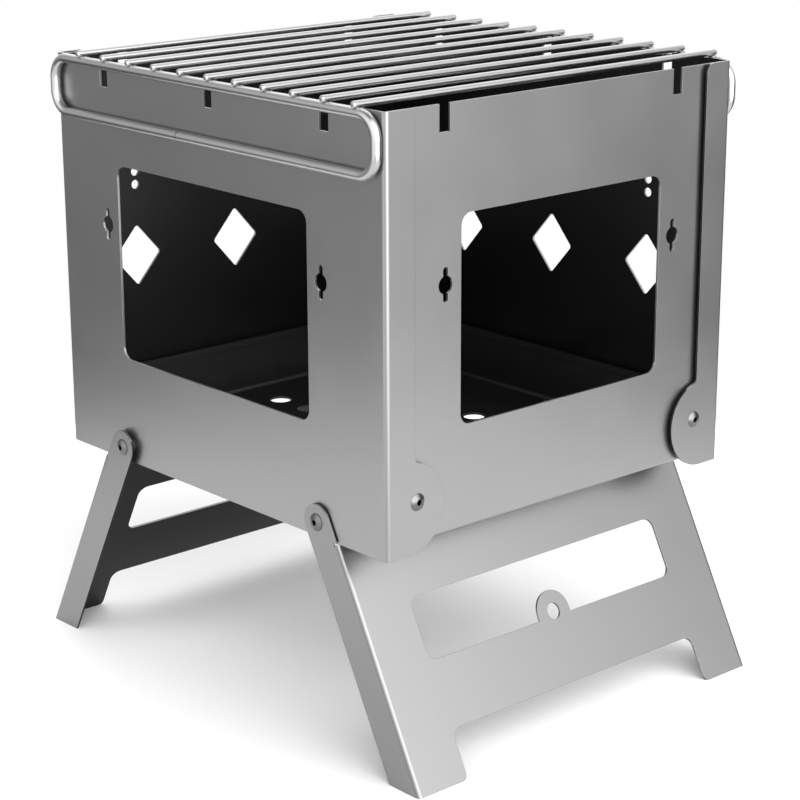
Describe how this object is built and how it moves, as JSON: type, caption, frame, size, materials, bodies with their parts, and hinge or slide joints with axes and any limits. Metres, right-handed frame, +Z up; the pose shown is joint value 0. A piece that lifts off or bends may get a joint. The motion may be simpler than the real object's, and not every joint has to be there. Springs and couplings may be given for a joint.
{
  "type": "folding twig stove",
  "caption": "Box-shaped sheet-steel twig stove with feed windows, a perforated fire tray, a lift-off wire grate and splayed leg frames that fold flat.",
  "frame": {"origin": "on the ground under the centre of the stove", "axes": "+Z up, the front wall with its window faces -Y, the left wall with its window faces -X"},
  "size_m": [0.2016, 0.2534, 0.2698],
  "materials": {
    "wall_sheet": "satin",
    "leg_sheet": "satin",
    "tray_sheet": "satin",
    "wire": "polished",
    "rivets": "polished",
    "washers": "satin"
  },
  "bodies": {
    "stove_body": {"left_wall": "wall_sheet", "right_wall": "wall_sheet", "front_wall": "wall_sheet", "back_wall": "wall_sheet", "wall_rivets": "rivets", "wall_washers": "washers", "front_leg_rivets": "rivets", "front_leg_washers": "washers", "rear_leg_rivets": "rivets", "rear_leg_washers": "washers"},
    "front_legs": {"front_leg_frame": "leg_sheet"},
    "rear_legs": {"rear_leg_frame": "leg_sheet"},
    "tray": {"fire_tray": "tray_sheet"},
    "grate": {"left_loop": "wire", "right_loop": "wire", "grate_rod_1": "wire", "grate_rod_2": "wire", "grate_rod_3": "wire", "grate_rod_4": "wire", "grate_rod_5": "wire", "grate_rod_6": "wire", "grate_rod_7": "wire", "grate_rod_8": "wire", "grate_rod_9": "wire", "grate_rod_10": "wire", "grate_rod_11": "wire"}
  },
  "joints": [
    {"name": "front_legs_fold", "type": "hinge", "parent": "stove_body", "child": "front_legs", "pos_m": [0, -0.0663, 0.0987], "axis": [1, 0, 0], "range_deg": [0, 117.6]},
    {"name": "rear_legs_fold", "type": "hinge", "parent": "stove_body", "child": "rear_legs", "pos_m": [0, 0.06483, 0.0987], "axis": [-1, 0, 0], "range_deg": [0, 117.6]},
    {"name": "grate_lift", "type": "slide", "parent": "stove_body", "child": "grate", "axis": [0, 0, 1], "range_m": [0, 0.1]},
    {"name": "tray_lift", "type": "slide", "parent": "stove_body", "child": "tray", "axis": [0, 0, 1], "range_m": [0, 0.12]}
  ]
}
